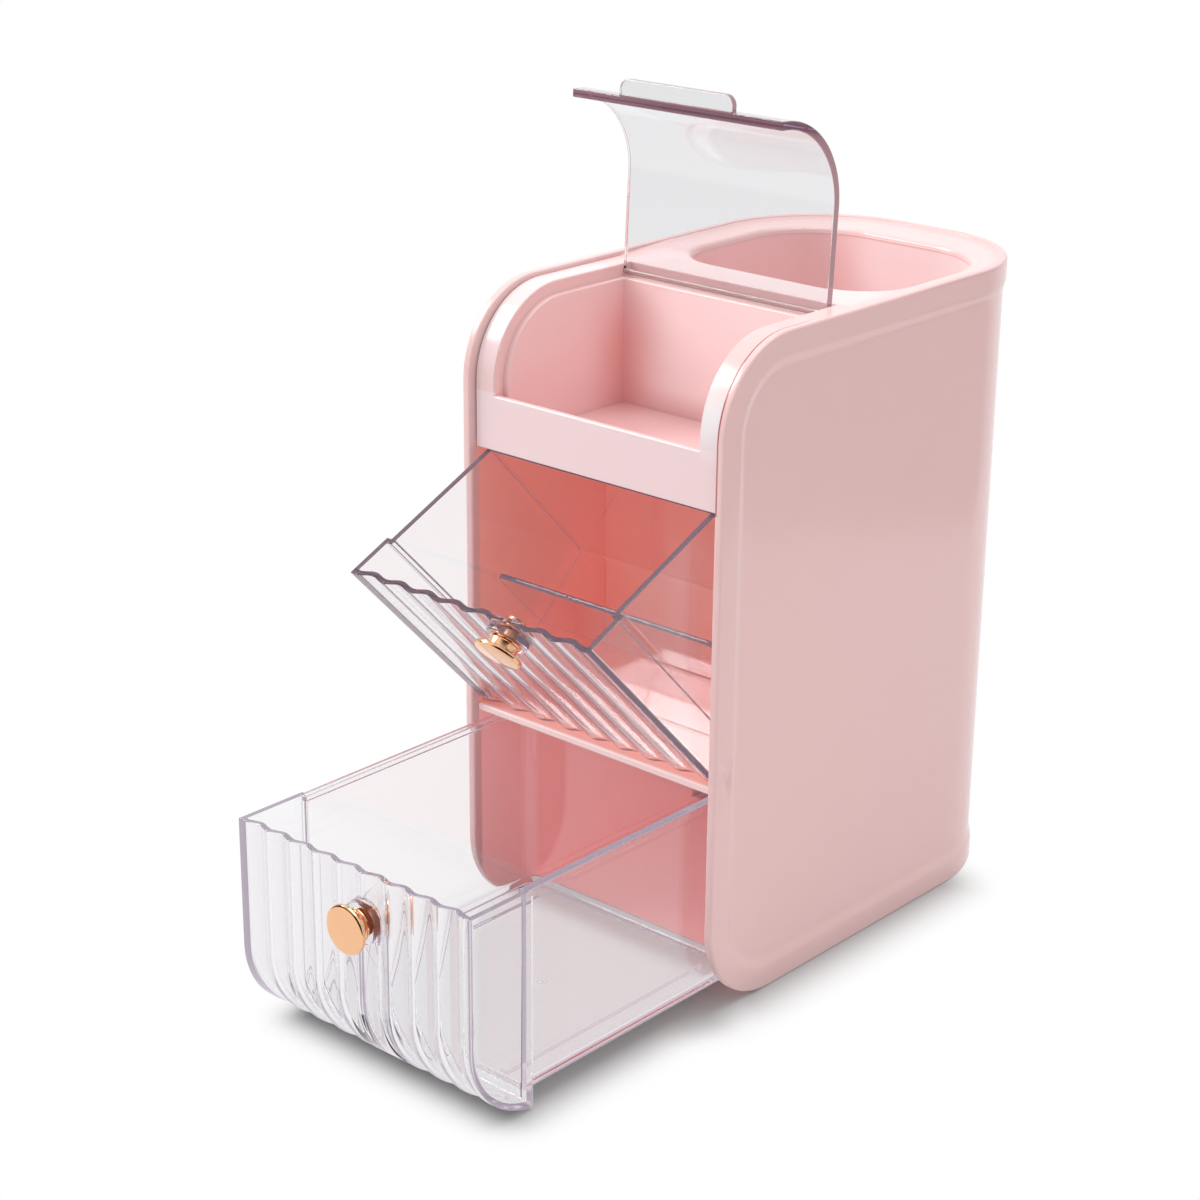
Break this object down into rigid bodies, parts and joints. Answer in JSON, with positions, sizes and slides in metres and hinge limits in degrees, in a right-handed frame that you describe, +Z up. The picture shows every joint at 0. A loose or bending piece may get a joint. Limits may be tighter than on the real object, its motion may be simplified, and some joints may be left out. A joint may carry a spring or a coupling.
{
  "type": "desktop storage drawer unit",
  "caption": "Upright desktop organizer with a rounded shell, lidded top tray, pen cup, clear fluted tilt-out bin and clear fluted drawer with round knobs.",
  "frame": {"origin": "centre of the shell's footprint, on the surface it stands on", "axes": "+Z up, the drawer opens towards -Y, +X to the right seen from the front"},
  "size_m": [0.11, 0.2924, 0.2907],
  "materials": {
    "pink_plastic": "gloss moulded plastic, pale pink",
    "clear_plastic": "clear moulded plastic",
    "rose_gold": "polished rose-gold plating",
    "steel": "bright steel",
    "pad_rubber": "matt grey rubber"
  },
  "bodies": {
    "housing": {"outer_shell": "pink_plastic", "base_plate": "pink_plastic", "base_screws": "steel", "foot_pads": "pad_rubber", "mid_shelf": "pink_plastic", "bay_back_panel": "pink_plastic", "top_tray": "pink_plastic", "pen_cup": "pink_plastic", "lid_hinge_rod": "steel", "bin_pivot_pin_left": "steel", "bin_pivot_pin_right": "steel"},
    "drawer": {"drawer_box": "clear_plastic", "drawer_knob": "rose_gold", "drawer_knob_washer": "rose_gold", "drawer_knob_screw": "rose_gold"},
    "tilt_bin": {"bin_box": "clear_plastic", "bin_divider": "clear_plastic", "bin_knob": "rose_gold", "bin_knob_washer": "rose_gold", "bin_knob_screw": "rose_gold"},
    "flip_lid": {"lid": "clear_plastic"}
  },
  "joints": [
    {"name": "drawer_slide", "type": "slide", "parent": "housing", "child": "drawer", "axis": [0, -1, 0], "range_m": [-0.108, 0.01]},
    {"name": "bin_tilt", "type": "hinge", "parent": "housing", "child": "tilt_bin", "pos_m": [0, -0.0838, 0.0846], "axis": [1, 0, 0], "range_deg": [-44, 0]},
    {"name": "lid_hinge", "type": "hinge", "parent": "housing", "child": "flip_lid", "pos_m": [0, -0.0237, 0.2211], "axis": [-1, 0, 0], "range_deg": [-93, 0]}
  ]
}
